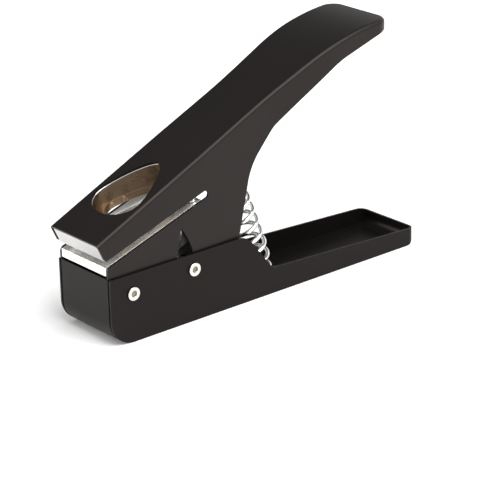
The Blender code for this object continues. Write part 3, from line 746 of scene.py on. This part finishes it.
def isBoreRim(edge):  # the polished edge that shows all round under the window
    up = Vector((-math.sin(lever["angle"]), 0, math.cos(lever["angle"])))
    middle = at(alongLever(window["start"] + window["length"] / 2, lever["wall"] + die["gap"]))
    slopes = sorted(abs(face.normal.dot(up)) for face in edge.link_faces)
    spot = (edge.verts[0].co + edge.verts[1].co) / 2 - middle
    inside = abs(spot.y) < window["width"] / 2 and math.hypot(spot.x, spot.z) < window["length"] / 2
    corner = slopes[-1] > boreFaces["rimTop"] and slopes[0] < boreFaces["wall"]
    return corner and inside and abs(spot.dot(up)) < die["gap"]


def darkenBore(block):  # the bore's wall and ledge look darker than the polished outside
    block.data.materials.append(boreSteel)
    normal = Vector((-math.sin(slot["angle"]), 0, math.cos(slot["angle"])))
    middle = at(alongSlot(pick["middle"], slot["height"]))
    for face in block.data.polygons:
        spot = face.center - middle
        away = spot - normal * spot.dot(normal)
        lean = face.normal.dot(normal)
        inside = away.length < boreFaces["reach"] and abs(away.y) < boreFaces["half"]
        wall = abs(lean) < boreFaces["wall"] and face.normal.dot(away) < 0
        ledge = lean > boreFaces["ledge"] and abs(spot.dot(normal) - die["land"]) < die["gap"]
        if inside and (wall or ledge):
            face.material_index = 1


def makeDie():
    top, over = lever["wall"] + die["gap"], fine["over"]
    lowRear = alongSlot(die["rear"], slot["height"])
    outline = [alongLever(die["gap"], top), frontLine(slot["height"]), lowRear, leverTopOver(lowRear, top)]
    block = sidePrism("upperDie", outline, die["half"])
    roundChosen(block, isTopEdge, die["topRadius"], die["topSteps"])
    land = slot["height"] + die["land"]
    ceiling = slot["height"] + lever["frontHeight"]
    cut(block, pickPrism("landTool", die["gap"], slot["height"] - over, land + over))
    cut(block, upperBoreTool(land, ceiling))
    for side in (-1, 1):
        cut(block, slotBar("threadTool", side, slot["height"] - over, slot["height"] + clampScrew["grip"]))
    block = roundChosen(asMesh(block), isBoreRim, die["rim"], die["rimSteps"])
    block = finish(block, die["softEdge"])
    place(block, "lever", dieSteel, "upper_die")
    darkenBore(block)


def makePlate():
    outline = [alongSlot(s, rise) for s, rise in ((die["rear"], 0.0), (die["rear"], -plate["thick"]))]
    foot = slot["floor"] - plate["face"]
    item = sidePrism("guidePlate", [(0.0, slot["floor"])] + outline + [(0.0, foot)], plate["half"])
    low, high = -plate["thick"] - fine["over"], fine["over"]
    cut(item, pickPrism("plateTool", die["gap"], low, high))
    for side in (-1, 1):
        cut(item, slotBar("plateHole", side, low, high))
    item = finish(item, plate["softEdge"])
    place(item, "lever", plateSteel, "lower_guide_plate")


# round wire spring
spring = {
    "radius": 0.0071, "wire": 0.0020, "coils": 14, "footX": 0.0956, "headX": 0.0676,
    "footPull": 0.011, "headPull": 0.036, "endGap": 0.0006, "seat": 0.001,
    "axisPoints": 801, "points": 40, "sides": 14,
}


def springAxis(share):  # a point on the bent line between the seats, and the direction there
    clear = spring["seat"] + 2 * die["gap"] + spring["wire"] / 2
    foot = Vector((spring["footX"], 0, tub["wall"] + clear))
    headZ = topHeight(spring["headX"]) - (lever["wall"] + clear) / math.cos(lever["angle"])
    head = Vector((spring["headX"], 0, headZ))
    aboveFoot = foot + Vector((0, 0, spring["footPull"]))
    down = Vector((math.sin(lever["angle"]), 0, -math.cos(lever["angle"])))
    belowHead = head + down * spring["headPull"]
    rest = 1 - share
    point = foot * rest ** 3 + aboveFoot * (3 * rest * rest * share)
    point += belowHead * (3 * rest * share * share) + head * share ** 3
    slope = (aboveFoot - foot) * (rest * rest) + (belowHead - aboveFoot) * (2 * rest * share)
    return point, (slope + (head - belowHead) * (share * share)).normalized()


def wirePath():  # one closed turn at each end, and open ones between
    shares = np.linspace(0, 1, spring["axisPoints"])
    axis = [springAxis(share)[0] for share in shares]
    steps = [(axis[i + 1] - axis[i]).length for i in range(len(axis) - 1)]
    reach = np.concatenate([[0], np.cumsum(steps)])
    rise = spring["wire"] + spring["endGap"]
    turns = [0, 1, spring["coils"] - 1, spring["coils"]]
    heights = [0, rise, reach[-1] - rise, reach[-1]]
    points = []
    for turn in np.linspace(0, spring["coils"], spring["coils"] * spring["points"] + 1):
        point, up = springAxis(float(np.interp(np.interp(turn, turns, heights), reach, shares)))
        side = Vector((0, 1, 0))
        out = side.cross(up) * math.cos(math.tau * turn) + side * math.sin(math.tau * turn)
        points.append(point + out * spring["radius"] + Vector((frontX, 0, 0)))
    return points


def tubeMesh(name, path, radius, sides):  # a ring of points round each point of the path, and flat ends
    shape = bmesh.new()
    rings = []
    for i, point in enumerate(path):
        along = (path[min(i + 1, len(path) - 1)] - path[max(i - 1, 0)]).normalized()
        out = along.cross(Vector((0, 1, 0)).cross(along)).normalized()
        other = along.cross(out)
        ring = []
        for k in range(sides):
            turn = math.tau * k / sides
            ring.append(shape.verts.new(point + (out * math.cos(turn) + other * math.sin(turn)) * radius))
        rings.append(ring)
    for low, high in zip(rings, rings[1:]):
        for k in range(sides):
            shape.faces.new((low[k], low[(k + 1) % sides], high[(k + 1) % sides], high[k]))
    shape.faces.new(list(reversed(rings[0])))
    shape.faces.new(rings[-1])
    bmesh.ops.recalc_face_normals(shape, faces=shape.faces)
    return asObject(name, shape)


def makeSpring():
    coil = tubeMesh("returnSpring", wirePath(), spring["wire"] / 2, spring["sides"])
    coil.data.shade_smooth()
    dress(coil, springWire)
    foot, head = springAxis(0.0)[0], springAxis(1.0)[0]
    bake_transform(coil)
    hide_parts("return_spring")


# every piece in turn
makeTub()
makeRivet("pivotRivetDressed", "front_pivot_rivet")
makeRivet("punchRivetDressed", "punch_rivet")
print("base pieces ready")
makeLever()
makeDie()
makePlate()
print("lever pieces ready")
makeSpring()
print("spring ready")

# solids that the frame brings keep their shape and get a finish
broughtNodes = [
    (dieSteel, ["die_spacer_near", "die_spacer_far"]),
    (seatPlastic, ["spring_lower_seat", "spring_upper_seat"]),
    (punchSteel, ["punch", "punch_carrier", "punch_screw_front", "punch_screw_rear"]),
    (punchSteel, ["die_screw_near", "die_screw_far", "pivot_sleeve", "punch_roller"]),
    (punchSteel, ["pin_spacer_near", "pin_spacer_far"]),
]
for material, nodes in broughtNodes:
    for node in nodes:
        dress(frame["nodes"][node], material)
for tool in list(scraps.objects):
    bpy.data.objects.remove(tool, do_unlink=True)
bpy.data.collections.remove(scraps)
print("solids from the frame dressed")

# floor, light and camera: flagAt points at the grey flag, which fades out between its two angles
studio = {
    "floorSize": 9.0, "floorColour": (0.95, 0.95, 0.95), "floorRoughness": 0.9, "floorSheen": 0.1,
    "backdrop": (1.0, 0.995, 0.985), "flag": (0.16, 0.16, 0.165), "flagAt": (0.10, 0.70, 0.70),
    "flagEdge": math.radians(50), "flagCore": math.radians(24), "worldStrength": 1.05,
    "lamps": {
        "softSun": {"strength": 2.8, "angle": math.radians(50), "from": (0.05, -0.57, 0.81)},
        "leftGlow": {"strength": 1.2, "angle": math.radians(24), "from": (-0.64, 0.74, 0.16)},
    },
}
# the camera fitted to the photo's straight edges: its aim counts x from the base's front face
view = {
    "azimuth": math.radians(-39.92), "elevation": math.radians(21.56), "roll": math.radians(-1.218),
    "distance": 1.005, "aim": (0.090, 0.040), "shiftRight": 0.002781, "shiftUp": -0.017764,
    "lens": 160.33, "sensor": 36.0, "nearest": 0.01,
}


def makeFloor():
    shape = bmesh.new()
    bmesh.ops.create_grid(shape, x_segments=1, y_segments=1, size=studio["floorSize"] / 2)
    floor = asObject("floor", shape, bpy.context.scene.collection)
    material = bpy.data.materials.new("paleFloor")
    material.use_nodes = True
    shader = material.node_tree.nodes["Principled BSDF"]
    shader.inputs["Base Color"].default_value = (*studio["floorColour"], 1)
    shader.inputs["Roughness"].default_value = studio["floorRoughness"]
    shader.inputs["Specular IOR Level"].default_value = studio["floorSheen"]
    dress(floor, material)


def makeLight():  # a white room with a grey flag that the coats mirror, and two soft suns
    world = bpy.data.worlds.new("studioWorld")
    bpy.context.scene.world = world
    world.use_nodes = True
    tree = world.node_tree
    spot = addNode(tree, "ShaderNodeTexCoord")
    toFlag = addNode(tree, "ShaderNodeVectorMath", operation="DOT_PRODUCT")
    toFlag.inputs[1].default_value = Vector(studio["flagAt"]).normalized()
    tree.links.new(spot.outputs["Generated"], toFlag.inputs[0])
    fade = addNode(tree, "ShaderNodeMapRange", interpolation_type="SMOOTHSTEP")
    fade.inputs["From Min"].default_value = math.cos(studio["flagEdge"])
    fade.inputs["From Max"].default_value = math.cos(studio["flagCore"])
    tree.links.new(toFlag.outputs["Value"], fade.inputs["Value"])
    tree.links.new(blended(tree, fade.outputs["Result"], studio["backdrop"], studio["flag"]),
                   tree.nodes["Background"].inputs["Color"])
    tree.nodes["Background"].inputs["Strength"].default_value = studio["worldStrength"]
    for name, look in studio["lamps"].items():
        sun = bpy.data.lights.new(name, "SUN")
        sun.energy = look["strength"]
        sun.angle = look["angle"]
        lamp = bpy.data.objects.new(name, sun)
        lamp.rotation_euler = Vector(look["from"]).to_track_quat("Z", "Y").to_euler()
        bpy.context.scene.collection.objects.link(lamp)


def makeCamera():
    a, e, r = view["azimuth"], view["elevation"], view["roll"]
    back = Vector((math.sin(a) * math.cos(e), -math.cos(a) * math.cos(e), math.sin(e)))
    level = (-back).cross(Vector((0, 0, 1))).normalized()
    up = level.cross(-back)
    right = level * math.cos(r) + up * math.sin(r)
    upright = up * math.cos(r) - level * math.sin(r)
    aim = at(view["aim"]) + right * view["shiftRight"] + upright * view["shiftUp"]
    lens = bpy.data.cameras.new("camera")
    lens.lens = view["lens"]
    lens.sensor_width = view["sensor"]
    lens.clip_start = view["nearest"]
    camera = bpy.data.objects.new("camera", lens)
    turn = Matrix((right, upright, back)).transposed().to_4x4()
    camera.matrix_world = Matrix.Translation(aim + back * view["distance"]) @ turn
    bpy.context.scene.collection.objects.link(camera)
    bpy.context.scene.camera = camera


bpy.context.scene.view_settings.view_transform = "Standard"  # keeps the backdrop pure white
makeFloor()
makeLight()
makeCamera()
print("studio ready")
